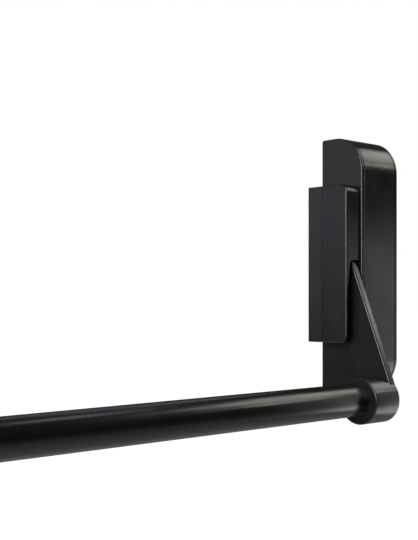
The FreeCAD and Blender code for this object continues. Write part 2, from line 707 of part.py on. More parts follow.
def lock_fasteners():
    screw_group("lock_cover_screws", sunk_screw("strip_thickness + block_height - block_screw_short"),
                [("up", "0", COVER_SCREW_OUT, "housing_half_height"),
                 ("down", "0", COVER_SCREW_OUT, "-housing_half_height")])
    lug = "housing_width / 2 - cheek_thickness - lug_length / 2"
    screw_group("cheek_screws", pan_screw("pan_head_height + lug_depth"),
                [("out", signed(sign, lug), "plate_thickness + lug_depth + pan_head_height", level)
                 for sign in (-1, 1) for level in ("lug_level", "-lug_level")])
    foot = "plate_thickness + guide_foot_depth"
    screw_group("latch_guide_screws", pan_screw("pan_head_height + guide_foot_depth"),
                [("out", GUIDE_MIDDLE, f"{foot} + pan_head_height", level) for level in GUIDE_FEET])
    screw_group("slider_rail_screws", pan_screw("pan_head_height + rail_front - plate_thickness"),
                [("out", across, "rail_front + pan_head_height", RAIL_SCREW_UP) for across in RAIL_SCREWS])


# ---- latch ----------------------------------------------------------------------------------------

def latch_guide():
    """A rectangular tube round the bolt, with a foot above and below."""
    guide = Piece("latch_guide")
    stop = "housing_width / 2 - cheek_thickness"
    half = "latch_half_height + latch_clearance"
    guide.pad("X", "guide_start", stop,
              rectangle("plate_thickness", "latch_front + latch_clearance + guide_wall",
                        f"slider_level - ({half}) - guide_wall", f"slider_level + ({half}) + guide_wall"))
    guide.cut("X", "guide_start", stop,
              rectangle("latch_back - latch_clearance", "latch_front + latch_clearance",
                        f"slider_level - ({half})", f"slider_level + ({half})"))
    guide.pad("Y", "plate_thickness", "plate_thickness + guide_foot_depth",
              rectangle("guide_start", stop, f"{GUIDE_FEET[0]} - guide_foot / 2",
                        f"slider_level - ({half}) - guide_wall"))
    guide.pad("Y", "plate_thickness", "plate_thickness + guide_foot_depth",
              rectangle("guide_start", stop, f"slider_level + ({half}) + guide_wall",
                        f"{GUIDE_FEET[1]} + guide_foot / 2"))
    for level in GUIDE_FEET:
        guide.cut("Y", "plate_thickness", "plate_thickness + guide_foot_depth",
                  circle(GUIDE_MIDDLE, level, "pan_shank"))


def slider_rail():
    """A bearing strip whose groove carries the slider's edge."""
    rail = Piece("slider_rail")
    rail.pad("X", "rail_left", "rail_right",
             rectangle("plate_thickness", "rail_front", "rail_bottom", "rail_top"))
    rail.cut("X", "rail_left", "rail_right",
             rectangle("groove_back", "rail_front", "slider_level - slider_thickness / 2 - groove_clearance",
                       "slider_level + slider_thickness / 2 + groove_clearance"))
    for across in RAIL_SCREWS:
        rail.cut("Y", "plate_thickness", "rail_front", circle(across, RAIL_SCREW_UP, "pan_shank"))


def latch_slider():
    """A plate with a 45 degree slot: the crank's finger moves along Y and the plate moves along X."""
    slider = Piece("latch_slider")
    low = "slider_level - slider_thickness / 2"
    high = "slider_level + slider_thickness / 2"
    slider.pad("Z", low, high,
               polygon(("slider_left", "slider_front"), ("slider_left", "slider_back"),
                       ("slider_step", "slider_back"), ("slider_step", "tongue_back"),
                       ("latch_join", "tongue_back"), ("latch_join", "tongue_front"),
                       ("slider_step", "tongue_front"), ("slider_step", "slider_front")))
    slider.cut("Z", low, high,
               belt((f"{CRANK_X} - cam_slot_run_on", f"{FINGER_OUT} + cam_slot_run_on"), "cam_slot_radius",
                    (f"{CRANK_X} + {LATCH_TRAVEL} + cam_slot_run_on",
                     f"{FINGER_OUT} - {LATCH_TRAVEL} - cam_slot_run_on"), "cam_slot_radius"))
    slider.cut("Z", low, high, circle("latch_join - latch_pin_inset", LATCH_MIDDLE, "cross_pin_radius"))


def latch_bolt():
    """The bolt, bevelled on the room side so that the strike pushes it in as the door closes."""
    bolt = Piece("latch_bolt")
    tip = "housing_width / 2 + latch_throw"
    low = "slider_level - latch_half_height"
    high = "slider_level + latch_half_height"
    bolt.pad("Z", low, high,
             polygon(("latch_start", "latch_back"), (tip, "latch_back"), (tip, "latch_back + latch_flat"),
                     (f"{tip} - latch_slope", "latch_front"), ("latch_start", "latch_front")))
    tip_place = number(tip)
    bolt.round_off("latch_edge", lambda edge: edge.BoundBox.XMax > tip_place - 0.02)
    bolt.cut("Y", "latch_back", "latch_front",
             rectangle("latch_start", "latch_join", "slider_level - slider_thickness / 2",
                       "slider_level + slider_thickness / 2"))
    bolt.cut("Z", "slider_level - latch_pin_half", "slider_level + latch_pin_half",
             circle("latch_join - latch_pin_inset", LATCH_MIDDLE, "cross_pin_radius"))


def latch_pin():
    pin = primitive("Part::Cylinder", "latch_pin", Radius="cross_pin_radius", Height="2 * latch_pin_half")
    put(pin, "up", "latch_join - latch_pin_inset", LATCH_MIDDLE, "slider_level - latch_pin_half")
    NODES.append(pin)


# ---- lever boxes ----------------------------------------------------------------------------------

def lever_base(prefix, side, plane):
    """The tray at the door: back wall, inboard wall, two ends and corner posts; open to the outer plane."""
    base = Piece(f"{prefix}_lever_base", side, plane)
    base.pad("X", "0", "box_width", rectangle("0", "box_seam - seam_gap", "-box_drop", "box_top"))
    base.pad("Y", "box_seam - seam_gap", "box_seam",
             rectangle("0", "box_width - seam_step", "-box_drop + seam_step", "box_top - seam_step"))
    base.cut("X", "0", "box_width - box_wall",
             rectangle("box_wall", "box_seam", "-box_drop + box_wall", "box_top - box_wall"))
    base.cut("Z", "-box_drop", "-box_drop + box_wall",
             rectangle("0", "box_width - box_wall", "slot_heel", "box_seam"))
    base.pad("X", "0", "box_width - box_wall",
             rectangle("box_wall", "post_depth", "box_top - box_wall - post_height", "box_top - box_wall"))
    base.pad("X", "0", "box_width - box_wall",
             rectangle("box_wall", "post_depth", "-box_drop + box_wall",
                       "-box_drop + box_wall + post_height"))
    base.pad("Z", "box_top - box_wall - post_height", "box_top - box_wall",
             rectangle("box_width / 4", "box_width * 3 / 4", "post_depth", "post_reach"))
    base.cut("Z", "box_top - box_wall - post_height", "box_top - box_wall",
             circle("box_width / 2", COVER_LUG_OUT, "sunk_shank"))
    for level in POST_LEVELS:
        base.cut("X", "0", "box_wall * 2", circle(JOINT_OUT, level, "sunk_shank"))
    for level in BOX_MOUNTS:
        base.cut("Y", "0", "box_wall", circle("box_width / 2", level, "mount_hole"))
    for level in ("bracket_screw_low", "bracket_screw_high"):
        base.cut("Y", "0", "box_wall", circle(BRACKET_MIDDLE, level, "sunk_shank"))


def lever_cover(prefix, side, plane):
    """The cover in front of the seam; its slot opens at the bottom and towards the outer plane."""
    cover = Piece(f"{prefix}_lever_cover", side, plane)
    cover.pad("X", "box_gap", "box_width", rectangle("box_seam", "box_depth", "-box_drop", "box_top"))
    front = both(runs_along("X"), lies_at("Y", "-box_depth"))
    cover.round_off("box_corner", front)
    rim = number("box_width") * side
    seam = number("-box_seam")
    cover.round_off("box_edge", lambda edge: abs(edge.BoundBox.XMin - rim) < 0.02
                    and abs(edge.BoundBox.XMax - rim) < 0.02 and edge.BoundBox.YMin < seam - 0.1)
    cover.cut("X", "box_gap", "box_width - box_wall",
              rectangle("box_seam", "box_depth - box_front_wall", "-box_drop", "box_top - box_wall"))
    cover.cut("Y", "box_depth - box_front_wall", "box_depth",
              slot_outline("box_gap", "slot_width", "box_width - box_wall"))
    sunk_hole(cover, "Z", "box_top", "box_wall", "box_width / 2", COVER_LUG_OUT, -1)


def slot_outline(outboard, lip_width, full_width):
    """Slot in the front wall: straight lip, then an inboard edge that flares in a quarter ellipse."""
    steps = 8
    flare = []
    for i in range(steps + 1):
        turn = 90 * i / steps
        across = f"{lip_width} + ({full_width} - ({lip_width})) * sin({turn})"
        up = f"slot_lip - slot_corner - slot_flare * (1 - cos({turn}))"
        flare.append((across, up))
    lip = (f"{lip_width} - slot_corner", "slot_lip")
    return polygon((outboard, "-box_drop"), (outboard, "slot_lip"), lip, *flare, (full_width, "-box_drop"))


def lever_bracket(prefix, side, plane):
    """Folded steel: a back plate, two ears for the spindle and a flange for the spring's rod."""
    bracket = Piece(f"{prefix}_lever_bracket", side, plane)
    bracket.pad("X", "0", "box_width - box_wall",
                rectangle("box_wall", BRACKET_FRONT, "-bracket_foot", "bracket_head"))
    for start, stop in (("0", "outer_ear"), (EAR_START, "box_width - box_wall")):
        bracket.pad("X", start, stop,
                    polygon((BRACKET_FRONT, "ear_low"), (BRACKET_FRONT, "ear_high"),
                            ("ear_shoulder_out", "ear_shoulder_up"), ("ear_brow_out", "ear_brow_up"),
                            ("rest_pin_out + ear_nose", "rest_pin_up + ear_nose_rise"),
                            ("rest_pin_out + ear_nose", "ear_low + ear_chin_rise"),
                            ("ear_chin_out", "ear_low")))
    bracket.pad("Z", "bracket_head - bracket_thickness", "bracket_head",
                rectangle("outer_ear + flange_gap", "box_width - box_wall - flange_setback",
                          BRACKET_FRONT, "flange_front"))
    bracket.cut("X", "0", "box_width - box_wall", circle("pivot_out", "pivot_up", "bush_radius"))
    bracket.cut("X", "0", "box_width - box_wall", circle("rest_pin_out", "rest_pin_up", "rest_pin_radius"))
    bracket.cut("Z", "bracket_head - bracket_thickness", "bracket_head",
                circle(HUB_MIDDLE, "plunger_out", "rod_radius"))
    for level in ("bracket_screw_low", "bracket_screw_high"):
        sunk_hole(bracket, "Y", BRACKET_FRONT, "bracket_thickness", BRACKET_MIDDLE, level, -1)


def bush(label, side, plane, start, stop, flange_start):
    """A plain bearing bush, with a flange beside it where there is room for one."""
    item = Piece(label, side, plane)
    item.pad("X", start, stop, circle("pivot_out", "pivot_up", "bush_radius"))
    first, last = start, stop
    if flange_start:
        item.pad("X", flange_start, f"{flange_start} + flange_thickness",
                 circle("pivot_out", "pivot_up", "bush_flange"))
        first = flange_start if number(flange_start) < number(start) else start
        last = stop if number(flange_start) < number(start) else f"{flange_start} + flange_thickness"
    item.cut("X", first, last, circle("pivot_out", "pivot_up", "spindle_radius + bush_clearance"))


def bushes(prefix, side, plane):
    bush(f"{prefix}_inboard_bush", side, plane, EAR_START, "box_width - box_wall",
         f"{EAR_START} - flange_thickness")
    if prefix == "lock":
        bush("lock_outboard_bush", side, plane, "-cheek_thickness", "outer_ear",
             "-cheek_thickness - flange_thickness")
    else:
        bush("hinge_outboard_bush", side, plane, "0", "outer_ear", None)


def stops_and_screws(prefix, side, plane):
    """Rest pin, rubber bumper and the unit's screws."""
    pin = Piece(f"{prefix}_rest_pin", side, plane)
    pin.pad("X", "0", "box_width - box_wall", circle("rest_pin_out", "rest_pin_up", "rest_pin_radius"))
    bumper = Piece(f"{prefix}_bumper", side, plane)
    bumper.pad("Y", BRACKET_FRONT, "bumper_tip",
               circle("arm_start + arm_thickness / 2", "-bumper_drop", "bumper_radius"))
    bumper.round_off("bumper_edge", lies_at("Y", "-bumper_tip"))

    def across(inboard):
        return f"{plane} + {side} * ({inboard})"

    screw_group(f"{prefix}_bracket_screws", sunk_screw("box_wall + bracket_thickness - bracket_screw_short"),
                [("out", across(BRACKET_MIDDLE), BRACKET_FRONT, level)
                 for level in ("bracket_screw_low", "bracket_screw_high")])
    screw_group(f"{prefix}_cover_screw", sunk_screw("box_wall + post_height - post_screw_short"),
                [("up", across("box_width / 2"), COVER_LUG_OUT, "box_top")])
    facing = "right" if side < 0 else "left"
    screw_group(f"{prefix}_joint_screws", sunk_screw("cheek_thickness + joint_screw_reach"),
                [(facing, across("-cheek_thickness"), JOINT_OUT, level) for level in POST_LEVELS])


def hinge_side_plate():
    """Closes the outer side of the hinge-side box."""
    plate = Piece("hinge_side_plate", 1, HINGE_PLANE)
    plate.pad("X", "-side_plate_thickness", "0", rectangle("0", "box_depth", "-box_drop", "box_top"))
    plate.round_off("box_corner", both(runs_along("X"), lies_at("Y", "-box_depth")))
    plate.round_off("cheek_edge", both(lies_at("X", "-side_plate_thickness"),
                                       lambda edge: edge.BoundBox.YMin < -1))
    for level in POST_LEVELS:
        sunk_hole(plate, "X", "-side_plate_thickness", "side_plate_thickness", JOINT_OUT, level, 1)


# ---- push bar: levers, spindles, crank and tube ---------------------------------------------------

def lever_arm(prefix, side, plane):
    """Hub, tapered web, heel and the boss that holds the bar's end."""
    arm = Piece(f"{prefix}_lever_arm", side, plane)
    pivot = ("pivot_out", "pivot_up")
    arm.pad("X", "arm_start", "arm_start + arm_thickness",
            belt(pivot, "hub_radius - hub_overlap", (BOSS_OUT, BOSS_UP), "boss_radius - boss_overlap"))
    inner = number("arm_start + arm_thickness") * side
    outer = number("arm_start") * side
    arm.round_off("arm_edge", lambda edge: abs(edge.BoundBox.XMin - inner) < 0.02
                  and abs(edge.BoundBox.XMax - inner) < 0.02)
    arm.round_off("arm_back_edge", lambda edge: abs(edge.BoundBox.XMin - outer) < 0.02
                  and abs(edge.BoundBox.XMax - outer) < 0.02)
    arm.turn("arm_start + hub_length / 2", "pivot_out", "pivot_up",
             arch("hub_radius", "hub_length / 2", "arm_back_edge"))
    arm.pad("X", f"{HUB_MIDDLE} - heel_width / 2", f"{HUB_MIDDLE} + heel_width / 2",
            belt(pivot, "heel_root", ("pivot_out - heel_reach * cos(half_swing)",
                                      "pivot_up - heel_reach * sin(half_swing)"), "heel_nose"))
    arm.turn("arm_start + boss_length / 2", BOSS_OUT, BOSS_UP,
             arch("boss_radius", "boss_length / 2", "boss_rim"))
    arm.cut("X", "arm_start + boss_length - socket_depth", "arm_start + boss_length",
            circle("bar_out", "-bar_down", "bar_radius + socket_clearance"))
    arm.cut("Z", f"{BOSS_UP} - boss_radius", "-bar_down - bar_radius",
            circle("grub_inboard", "bar_out", "grub_radius"))
    arm.cut("X", "arm_start", "arm_start + hub_length", circle("pivot_out", "pivot_up", "spindle_radius"))
    arm.cut("Z", "pivot_up - cross_pin_length / 2", "pivot_up + hub_radius",
            circle(HUB_MIDDLE, "pivot_out", "cross_pin_radius"))


def spindle(prefix, side, plane):
    """Steel spindle; the lock-side one runs on into the lock case and ends in a square."""
    shaft = Piece(f"{prefix}_spindle", side, plane)
    end = "box_width - box_wall - spindle_end_gap"
    start = "-crank_inset" if prefix == "lock" else "spindle_end_gap"
    shaft.pad("X", start, end, circle("pivot_out", "pivot_up", "spindle_radius"))
    if prefix == "lock":
        half = "square_drive / 2"
        shaft.pad("X", "-crank_inset - crank_thickness", "-crank_inset",
                  rectangle(f"pivot_out - {half}", f"pivot_out + {half}", f"pivot_up - {half}",
                            f"pivot_up + {half}"))
        shaft.cut("X", "-crank_inset - crank_thickness", "-crank_inset + crank_bore",
                  circle("pivot_out", "pivot_up", "pan_shank"))
    shaft.cut("Z", "pivot_up - spindle_radius", "pivot_up + spindle_radius",
              circle(HUB_MIDDLE, "pivot_out", "cross_pin_radius"))


def cross_pin(prefix, side, plane):
    """Dowel that keys the hub to the spindle."""
    pin = primitive("Part::Cylinder", f"{prefix}_cross_pin", Radius="cross_pin_radius",
                    Height="cross_pin_length")
    put(pin, "up", f"{plane} + {side} * ({HUB_MIDDLE})", "pivot_out", "pivot_up - cross_pin_length / 2")
    NODES.append(pin)


def grub_screw(prefix, side, plane):
    """Socket screw under the boss that grips the bar."""
    name = f"{prefix}_grub_screw"
    thread = primitive("Part::Cylinder", name + "Thread", Radius="grub_radius", Height="grub_length")
    socket = doc.addObject("Part::Prism", name + "Socket")
    socket.Polygon = 6
    socket.setExpression("Circumradius", formula("grub_socket"))
    socket.setExpression("Height", formula("grub_length / 2"))
    socket.setExpression(".Placement.Base.z", formula("grub_length / 2"))
    grub = join("Part::Cut", name, thread, socket)
    put(grub, "down", f"{plane} + {side} * grub_inboard", "bar_out", "-bar_down - bar_radius")
    NODES.append(grub)


def bar_tube():
    tube = Piece("bar_tube")
    stop = LOCK_PLANE + " - arm_start - (boss_length - socket_depth) - bar_end_gap"
    tube.pad("X", f"{stop} - bar_length", stop, circle("bar_out", "-bar_down", "bar_radius"))
    tube.cut("X", f"{stop} - bar_length", stop, circle("bar_out", "-bar_down", "bar_radius - bar_wall"))


def drive_crank():
    """Crank on the spindle's square; its finger hangs through the slider's angled slot."""
    crank = Piece("drive_crank")
    start = LOCK_PLANE + " + crank_inset"
    tip = ("pivot_out + crank_reach * sin(half_swing)", "pivot_up - crank_reach * cos(half_swing)")
    half = "square_drive / 2"
    crank.pad("X", start, f"{start} + crank_thickness",
              belt(("pivot_out", "pivot_up"), "crank_hub", tip, "crank_tip"))
    crank.leaning_rod(CRANK_X, tip[0], tip[1], "half_swing", "finger_radius", "finger_reach - crank_reach")
    crank.cut("X", start, f"{start} + crank_thickness",
              rectangle(f"pivot_out - {half}", f"pivot_out + {half}", f"pivot_up - {half}",
                        f"pivot_up + {half}"))
    flanged = screw("crank_screw", "pan_shank", "pan_head_height + crank_thickness", "crank_screw_head",
                    "pan_head_height", False)
    put(flanged, "right", f"{start} + crank_thickness + pan_head_height", "pivot_out", "pivot_up")
    flanged.Label = "crank_screw"
    NODES.append(flanged)


# ---- return plunger, spring and rod ---------------------------------------------------------------

def return_plunger(prefix, side, plane):
    """Cup that rides on the rod; the heel lifts it."""
    name = f"{prefix}_return_plunger"
    taper = "plunger_radius - plunger_point"
    point = primitive("Part::Cone", name + "Point", Radius1="plunger_point", Radius2="plunger_radius",
                      Height=taper)
    barrel = primitive("Part::Cylinder", name + "Barrel", Radius="plunger_radius",
                       Height=f"plunger_length - ({taper})")
    barrel.setExpression(".Placement.Base.z", formula(taper))
    outside = join("Part::MultiFuse", name + "Outside", point, barrel)
    bore = primitive("Part::Cylinder", name + "Bore", Radius="plunger_bore", Height="plunger_bore_depth")
    bore.setExpression(".Placement.Base.z", formula("plunger_length - plunger_bore_depth"))
    cup = join("Part::Cut", name, outside, bore)
    put(cup, "up", f"{plane} + {side} * ({HUB_MIDDLE})", "plunger_out", PLUNGER_BOTTOM)
    NODES.append(cup)


def spring_rod(prefix, side, plane):
    """Headed rod that hangs from the bracket's flange through the spring."""
    name = f"{prefix}_spring_rod"
    shank = primitive("Part::Cylinder", name + "Shank", Radius="rod_radius", Height="bracket_head - rod_tip")
    head = primitive("Part::Cylinder", name + "Head", Radius="rod_head", Height="rod_head_height")
    head.setExpression(".Placement.Base.z", formula("bracket_head - rod_tip"))
    rod = join("Part::MultiFuse", name, shank, head)
    put(rod, "up", f"{plane} + {side} * ({HUB_MIDDLE})", "plunger_out", "rod_tip")
    NODES.append(rod)


def return_spring(prefix, side, plane):
    """Helical compression spring between the plunger and the bracket's flange."""
    length = number(f"bracket_head - bracket_thickness - ({PLUNGER_TOP})")
    wire = number("spring_wire")
    coil = number("spring_coil")
    rise = length - 2 * wire
    helix = Part.makeHelix(rise / number("spring_turns"), rise, coil)
    ring = Part.Wire(Part.makeCircle(wire, FreeCAD.Vector(coil, 0, 0), FreeCAD.Vector(0, 1, 0)))
    spring = doc.addObject("Part::Feature", f"{prefix}_return_spring")
    spring.Shape = Part.Wire(helix.Edges).makePipeShell([ring], True, True)
    put(spring, "up", f"{plane} + {side} * ({HUB_MIDDLE})", "plunger_out", f"{PLUNGER_TOP} + spring_wire")
    NODES.append(spring)


# ---- assembly -------------------------------------------------------------------------------------

def lock_case():
    lock_base_plate()
    lock_cheek("lock_inboard_cheek", 1, inboard_cheek_holes)
    lock_cheek("lock_outboard_cheek", -1, outboard_cheek_window)
    lock_front_strip()
    lock_cover_blocks()
    lock_fasteners()
    latch_guide()
    slider_rail()
    latch_slider()
    latch_bolt()
    latch_pin()
    drive_crank()


def lever_unit(prefix, side, plane):
    for make in (lever_base, lever_cover, lever_bracket, bushes, stops_and_screws, lever_arm, spindle,
                 cross_pin, grub_screw, return_plunger, spring_rod, return_spring):
        make(prefix, side, plane)


def write_parts():
    doc.recompute()
    for item in doc.Objects:
        if "Invalid" in item.State or "Error" in item.State:
            raise RuntimeError(f"{item.Label} failed: {item.State}")
    os.makedirs("parts", exist_ok=True)
    for node in NODES:
        shape = node.Shape
        if shape.isNull() or not shape.isValid() or not shape.Solids:
            raise RuntimeError(f"{node.Label} has no valid solid")
        shape.exportStep(f"parts/{node.Label}.step")
        print(f"{node.Label}: {len(shape.Solids)} solid(s), {shape.Volume / 1000:.2f} cm3")
    print(len(NODES), "nodes")


lock_case()
for unit in (LOCK, HINGE):
    lever_unit(*unit)
hinge_side_plate()
bar_tube()
write_parts()
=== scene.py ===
# %% [markdown]
# This is a cross-bar exit device for a door: a round bar on two levers, with the lock case at one end.
# A push on the bar swings both levers about 12 degrees and draws the latch back. The shapes come
# from the CAD model, so this lesson is about finishes, a few finely worked pieces, and the light.
# The first step loads the CAD model, and keeps its size so that the last step can compare it.
# %% Load the CAD model
import math

import bmesh
import bpy
import numpy as np
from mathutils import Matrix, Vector


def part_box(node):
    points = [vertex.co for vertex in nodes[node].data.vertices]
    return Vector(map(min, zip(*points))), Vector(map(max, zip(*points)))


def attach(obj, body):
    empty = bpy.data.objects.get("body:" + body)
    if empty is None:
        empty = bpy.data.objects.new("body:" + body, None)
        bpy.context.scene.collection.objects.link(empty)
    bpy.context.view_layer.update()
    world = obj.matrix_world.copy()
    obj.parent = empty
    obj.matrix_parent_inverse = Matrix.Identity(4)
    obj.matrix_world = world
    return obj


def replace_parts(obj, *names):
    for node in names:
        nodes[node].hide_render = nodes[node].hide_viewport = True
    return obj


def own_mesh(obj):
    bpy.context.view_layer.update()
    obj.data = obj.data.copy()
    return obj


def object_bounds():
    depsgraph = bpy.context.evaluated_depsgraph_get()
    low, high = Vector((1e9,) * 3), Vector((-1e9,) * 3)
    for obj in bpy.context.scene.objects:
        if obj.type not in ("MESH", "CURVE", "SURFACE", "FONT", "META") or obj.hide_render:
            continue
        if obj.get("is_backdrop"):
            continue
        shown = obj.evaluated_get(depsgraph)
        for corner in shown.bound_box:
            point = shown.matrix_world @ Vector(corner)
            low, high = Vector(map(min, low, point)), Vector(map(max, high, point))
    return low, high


MM = 0.001
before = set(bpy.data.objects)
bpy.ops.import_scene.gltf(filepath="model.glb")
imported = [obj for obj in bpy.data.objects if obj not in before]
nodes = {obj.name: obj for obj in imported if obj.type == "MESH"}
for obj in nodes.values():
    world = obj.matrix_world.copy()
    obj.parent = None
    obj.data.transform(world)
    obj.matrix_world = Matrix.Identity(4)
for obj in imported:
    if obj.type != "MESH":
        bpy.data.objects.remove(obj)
cad_box = [list(corner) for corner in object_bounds()]
print("CAD size in mm:", [round((high - low) / MM, 1) for low, high in zip(*cad_box)])

# %% [markdown]
# Every CAD node knows which finish it takes, because its material slot carries the finish's name.
# Reading that once gives a table from node to slot, which the worked pieces also use.
# %% Read each node's finish
slot_of = {name: node.data.materials[0].name.split(".")[0] for name, node in nodes.items()}
for slot in sorted(set(slot_of.values())):
    print(slot, "on", sum(1 for used in slot_of.values() if used == slot), "nodes")

# %% [markdown]
# A finish is a tree of shader nodes. Writing trees by hand repeats the same three acts: add a node,
# set its sockets, link it. The class below does them in one call, so that a finish reads like a
# recipe. A socket is given by name, or by number where several share a name.
# %% A short way to wire shader nodes
class Wires:
    """Adds nodes to one tree; an input takes a plain value or another node's output."""

    def __init__(self, tree):
        self.tree = tree

    def add(self, kind, inputs=None, **settings):
        made = self.tree.nodes.new("ShaderNode" + kind)
        for key, value in settings.items():
            setattr(made, key, value)
        for key, value in (inputs or {}).items():
            if isinstance(value, bpy.types.NodeSocket):
                self.tree.links.new(value, made.inputs[key])
            else:
                made.inputs[key].default_value = value
        return made

    def math(self, operation, first, second=0.0, clamp=False):
        return self.add("Math", {0: first, 1: second}, operation=operation, use_clamp=clamp).outputs[0]

    def ramp(self, value, low, high, to_low=0.0, to_high=1.0):
        """Stretches low..high to to_low..to_high, and holds the ends."""
        inputs = {"Value": value, "From Min": low, "From Max": high, "To Min": to_low, "To Max": to_high}
        return self.add("MapRange", inputs, interpolation_type="SMOOTHSTEP").outputs["Result"]

    def blend(self, share, first, second):
        """Colour that goes from first to second as share goes from 0 to 1."""
        return self.add("Mix", {"Factor": share, 6: first, 7: second}, data_type="RGBA").outputs[2]

    def place(self, stretch=(1, 1, 1)):
        """Object coordinates in metres, stretched along each axis."""
        coordinates = self.add("TexCoord").outputs["Object"]
        return self.add("Mapping", {"Vector": coordinates, "Scale": stretch}).outputs["Vector"]

    def noise(self, vector, scale, detail=2.0, roughness=0.5):
        inputs = {"Vector": vector, "Scale": scale, "Detail": detail, "Roughness": roughness}
        return self.add("TexNoise", inputs).outputs["Fac"]


def new_group(name, inputs, outputs):
    """An empty node group with number inputs (name, default) and named number outputs."""
    group = bpy.data.node_groups.new(name, "ShaderNodeTree")
    for label, value in inputs:
        socket = group.interface.new_socket(label, in_out="INPUT", socket_type="NodeSocketFloat")
        socket.default_value = value
    for label in outputs:
        group.interface.new_socket(label, in_out="OUTPUT", socket_type="NodeSocketFloat")
    wires = Wires(group)
    taken = group.nodes.new("NodeGroupInput").outputs
    given = group.nodes.new("NodeGroupOutput").inputs
    print("group", name, "gives", ", ".join(outputs))
    return group, wires, taken, given


# %% [markdown]
# Powder coat is melted plastic powder. It sets with a faint orange-peel ripple about 2 mm across and
# a much finer tooth that makes it satin. Both could be modelled, but they are thinner than a hair,
# so they are a height for a Bump node. The third output is a slow cloud, because no oven
# cures a coat evenly, and it later shifts the gloss a little.
# %% Group: powder coat
powder, wires, taken, given = new_group("powder_coat", [("Peel size", 420.0), ("Tooth size", 2600.0)],
                                        ["Height", "Tooth", "Cloud"])
spot = wires.place()
peel = wires.noise(spot, taken["Peel size"], 1.0)
tooth = wires.noise(spot, taken["Tooth size"], 2.0, 0.6)
ripple = wires.math("MULTIPLY", peel, 0.6)
grit = wires.math("MULTIPLY", tooth, 0.4)
wires.tree.links.new(wires.math("ADD", ripple, grit), given["Height"])
wires.tree.links.new(wires.ramp(tooth, 0.35, 0.65), given["Tooth"])
wires.tree.links.new(wires.ramp(wires.noise(spot, 22.0, 3.0), 0.3, 0.7), given["Cloud"])

# %% [markdown]
# Edges wear first, because hands and trolleys meet them before they meet the faces. A rounded
# normal differs from the real one only near an edge, so their difference is an edge mask. Noise
# breaks it up, because wear is never an even line.
# %% Group: worn edges
edges, wires, taken, given = new_group("worn_edges", [("Width", 0.0012), ("Breakup size", 160.0)], ["Mask"])
true_normal = wires.add("NewGeometry").outputs["Normal"]
soft_normal = wires.add("Bevel", {"Radius": taken["Width"]}, samples=4).outputs["Normal"]
agree = wires.add("VectorMath", {0: true_normal, 1: soft_normal}, operation="DOT_PRODUCT").outputs["Value"]
near_edge = wires.ramp(wires.math("SUBTRACT", 1.0, agree), 0.02, 0.22)
breakup = wires.ramp(wires.noise(wires.place(), taken["Breakup size"], 3.0, 0.65), 0.42, 0.66)
wires.tree.links.new(wires.math("MULTIPLY", near_edge, breakup, clamp=True), given["Mask"])

# %% [markdown]
# Hands leave thin grease that is seen only as a change of gloss, and dust settles on whatever faces
# up. The first is a stretched noise with a hard threshold. The second multiplies the upward part
# of the normal by a fine noise, so that it thins out on slopes.
# %% Group: traces of use
traces, wires, taken, given = new_group("traces_of_use", [("Smudge size", 34.0), ("Dust size", 900.0)],
                                        ["Smudge", "Dust"])
smear = wires.noise(wires.place((1.0, 1.0, 0.55)), taken["Smudge size"], 4.0, 0.62)
wires.tree.links.new(wires.ramp(smear, 0.54, 0.70), given["Smudge"])
normal = wires.add("SeparateXYZ", {0: wires.add("NewGeometry").outputs["Normal"]}).outputs["Z"]
lying = wires.ramp(normal, 0.55, 0.98)
specks = wires.ramp(wires.noise(wires.place(), taken["Dust size"], 4.0, 0.7), 0.46, 0.74)
wires.tree.links.new(wires.math("MULTIPLY", lying, specks), given["Dust"])

# %% [markdown]
# Rolled, drawn and brushed metal carries lines in one direction. A noise that is stretched a
# hundredfold along that direction turns into such lines. Three inputs stretch it along X,
# Y and Z, so one group serves plates, tubes and bolts.
# %% Group: drawn lines
drawn, wires, taken, given = new_group("drawn_lines", [("Along X", 1.0), ("Along Y", 1.0), ("Along Z", 1.0)],
                                       ["Line", "Blotch"])
stretch = wires.add("CombineXYZ", {"X": taken["Along X"], "Y": taken["Along Y"], "Z": taken["Along Z"]})
spot = wires.add("VectorMath", {0: wires.add("TexCoord").outputs["Object"], 1: stretch.outputs["Vector"]},
                 operation="MULTIPLY").outputs["Vector"]
wires.tree.links.new(wires.ramp(wires.noise(spot, 30.0, 4.0, 0.7), 0.3, 0.7), given["Line"])
wires.tree.links.new(wires.ramp(wires.noise(wires.place(), 60.0, 3.0), 0.3, 0.7), given["Blotch"])

# %% [markdown]
# A painted finish puts the groups together. The paint is nearly black, so what the eye reads
# is its reflection: roughness matters more than colour. Wear shows a slightly lighter,
# smoother edge, grease lowers the roughness in patches, and dust raises it and greys it.
# %% Painted finishes
WORN_PAINT = (0.075, 0.076, 0.080, 1)
DUST_GREY = (0.22, 0.21, 0.20, 1)
TOOTH_CONTRAST = 0.18
POLYMER_IOR = 1.5
MICRON = 0.001 * MM


def start_finish(name):
    """A material with an empty Principled shader; gives the material, its wires and the shader."""
    material = bpy.data.materials.new("finish_" + name)
    material.use_nodes = True
    shader = material.node_tree.nodes["Principled BSDF"]
    return material, Wires(material.node_tree), shader


def add_group(wires, group, **values):
    """Places a node group and sets its inputs; underscores in a name stand for spaces."""
    made = wires.tree.nodes.new("ShaderNodeGroup")
    made.node_tree = group
    for key, value in values.items():
        made.inputs[key.replace("_", " ")].default_value = value
    return made.outputs


